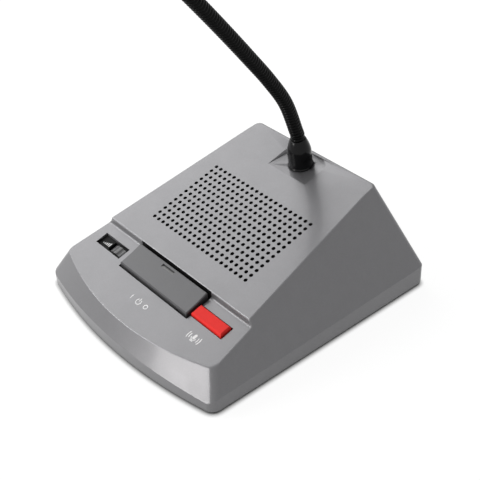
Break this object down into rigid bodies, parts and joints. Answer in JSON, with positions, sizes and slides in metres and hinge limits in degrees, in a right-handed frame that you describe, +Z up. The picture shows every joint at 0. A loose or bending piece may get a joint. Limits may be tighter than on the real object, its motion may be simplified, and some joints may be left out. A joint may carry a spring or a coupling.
{
  "type": "teller window intercom",
  "caption": "Wedge-shaped desk intercom with a speaker grille, a wide power key, a red talk key, a volume wheel and a bendable neck that carries the microphone.",
  "frame": {"origin": "centre of the footprint, on the desk under the rubber feet", "axes": "+X to the user's right, +Y to the rear, +Z up"},
  "size_m": [0.1486, 0.164, 0.2575],
  "materials": {
    "silver_paint": "satin metallic silver-grey paint on moulded plastic",
    "silver_key": "satin metallic grey paint on moulded plastic",
    "black_plastic": "fine-grained black plastic",
    "rubber": "matte",
    "steel": "plated",
    "spring_steel": "bright",
    "zinc": "zinc plated",
    "aluminium": "plain",
    "board": "green solder mask",
    "capacitor": "sleeved",
    "lens": "smoked",
    "white_plastic": "plain",
    "red_plastic": "satin red",
    "black_gloss": "glossy black",
    "wheel_grey": "dark grey",
    "cloth": "black acoustic cloth",
    "paper": "pressed paper",
    "ferrite": "sintered",
    "neck_black": "black coated steel conduit",
    "mic_black": "satin black"
  },
  "bodies": {
    "housing": {"amplifier_chip": "black_plastic", "ballast_plate": "zinc", "base_plate": "black_plastic", "board_capacitors": "capacitor", "board_screws": "steel", "dc_socket": "black_plastic", "grille_cloth": "cloth", "heat_sink": "aluminium", "housing_screws": "steel", "line_socket": "black_plastic", "main_board": "board", "mic_spring": "spring_steel", "mic_switch": "black_plastic", "neck_base": "neck_black", "neck_collar": "black_gloss", "neck_nut": "steel", "neck_washer": "steel", "power_key_pin": "steel", "power_lamp": "lens", "power_spring": "spring_steel", "power_switch": "black_plastic", "rubber_feet": "rubber", "socket_panel": "black_plastic", "speaker_cone": "paper", "speaker_dust_cap": "paper", "speaker_frame": "zinc", "speaker_magnet": "ferrite", "speaker_screws": "steel", "speaker_yoke": "zinc", "upper_housing": "silver_paint", "volume_bezel": "black_gloss", "volume_pot": "black_plastic"},
    "power_key": {"power_key": "silver_key", "power_lens": "lens"},
    "power_plunger": {"power_plunger": "white_plastic"},
    "mic_key": {"mic_key": "red_plastic"},
    "mic_plunger": {"mic_plunger": "white_plastic"},
    "volume_wheel": {"volume_wheel": "wheel_grey", "volume_shaft": "steel"},
    "neck_1": {"neck_link_1": "neck_black"},
    "neck_2": {"neck_link_2": "neck_black"},
    "neck_3": {"neck_link_3": "neck_black"},
    "neck_4": {"neck_link_4": "neck_black"},
    "neck_5": {"neck_link_5": "neck_black"},
    "neck_6": {"neck_link_6": "neck_black"},
    "neck_7": {"neck_link_7": "neck_black"},
    "neck_8": {"neck_link_8": "neck_black"},
    "neck_9": {"neck_link_9": "neck_black", "mic_ferrule": "black_gloss", "mic_body": "mic_black", "mic_capsule": "aluminium", "mic_cap": "mic_black"}
  },
  "joints": [
    {"name": "power_key_press", "type": "hinge", "parent": "housing", "child": "power_key", "pos_m": [0, -0.05125, 0.02319], "axis": [-1, 0, 0], "range_deg": [0, 7], "stiffness_Nm_per_rad": 0.1, "springref_deg": -8.59, "deforming": ["power_spring"]},
    {"name": "power_plunger_slide", "type": "slide", "parent": "housing", "child": "power_plunger", "axis": [0, 0, -1], "range_m": [0, 0.00117]},
    {"name": "mic_key_press", "type": "slide", "parent": "housing", "child": "mic_key", "axis": [0, 0, -1], "range_m": [0, 0.002], "stiffness_N_per_m": 400, "springref_m": -0.002, "deforming": ["mic_spring"]},
    {"name": "mic_plunger_slide", "type": "slide", "parent": "housing", "child": "mic_plunger", "axis": [0, 0, -1], "range_m": [0, 0.002]},
    {"name": "volume_turn", "type": "hinge", "parent": "housing", "child": "volume_wheel", "pos_m": [-0.0412, -0.04398, 0.01812], "axis": [0, 0.965, 0.2622], "range_deg": [-140, 140]},
    {"name": "neck_nod_1", "type": "hinge", "parent": "housing", "child": "neck_1", "pos_m": [0, 0.05265, 0.08151], "axis": [1, 0, 0], "range_deg": [-15, 15]},
    {"name": "neck_sway_2", "type": "hinge", "parent": "neck_1", "child": "neck_2", "pos_m": [0, 0.0454, 0.10117], "axis": [0, 0.8959, 0.4442], "range_deg": [-15, 15]},
    {"name": "neck_nod_3", "type": "hinge", "parent": "neck_2", "child": "neck_3", "pos_m": [0, 0.03421, 0.11891], "axis": [1, 0, 0], "range_deg": [-15, 15]},
    {"name": "neck_sway_4", "type": "hinge", "parent": "neck_3", "child": "neck_4", "pos_m": [0, 0.02171, 0.13578], "axis": [0, 0.7996, 0.6005], "range_deg": [-15, 15]},
    {"name": "neck_nod_5", "type": "hinge", "parent": "neck_4", "child": "neck_5", "pos_m": [0, 0.00899, 0.15249], "axis": [1, 0, 0], "range_deg": [-15, 15]},
    {"name": "neck_sway_6", "type": "hinge", "parent": "neck_5", "child": "neck_6", "pos_m": [0, -0.00394, 0.16904], "axis": [0, 0.7838, 0.6211], "range_deg": [-15, 15]},
    {"name": "neck_nod_7", "type": "hinge", "parent": "neck_6", "child": "neck_7", "pos_m": [0, -0.01709, 0.18541], "axis": [1, 0, 0], "range_deg": [-15, 15]},
    {"name": "neck_sway_8", "type": "hinge", "parent": "neck_7", "child": "neck_8", "pos_m": [0, -0.03045, 0.20161], "axis": [0, 0.7674, 0.6412], "range_deg": [-15, 15]},
    {"name": "neck_nod_9", "type": "hinge", "parent": "neck_8", "child": "neck_9", "pos_m": [0, -0.04402, 0.21764], "axis": [1, 0, 0], "range_deg": [-15, 15]}
  ],
  "couplings": [
    {"joint": "power_plunger_slide", "follows": "power_key_press", "m_per_rad": 0.0095},
    {"joint": "mic_plunger_slide", "follows": "mic_key_press", "ratio": 1}
  ]
}
